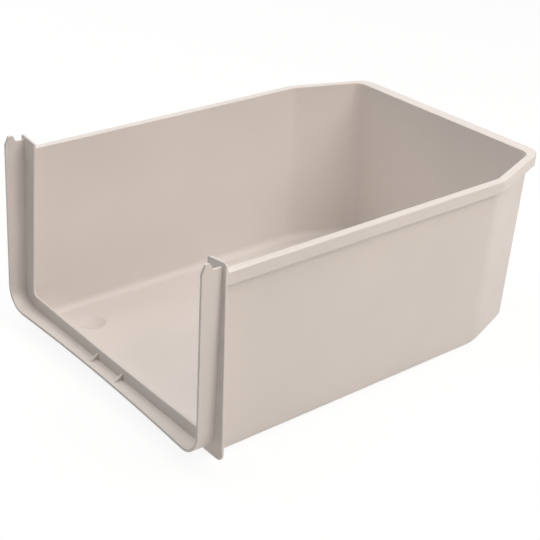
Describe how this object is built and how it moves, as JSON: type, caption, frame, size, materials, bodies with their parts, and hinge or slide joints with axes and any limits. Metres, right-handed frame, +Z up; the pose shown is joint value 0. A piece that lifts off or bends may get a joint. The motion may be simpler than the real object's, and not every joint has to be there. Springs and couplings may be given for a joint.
{
  "type": "fridge crisper drawer",
  "caption": "Open-front crisper pan with drafted walls, tapered rear corners, an out-turned rim lip and a front frame that takes a separate front panel.",
  "frame": {"origin": "bottom centre of the overall box, on the flat underside", "axes": "+X to the right seen from the open front, +Y into the refrigerator towards the back wall, +Z up"},
  "size_m": [0.3558, 0.4494, 0.2035],
  "materials": {
    "pan_plastic": "satin moulded off-white"
  },
  "bodies": {
    "root": {"drawer_pan": "pan_plastic"}
  },
  "joints": []
}
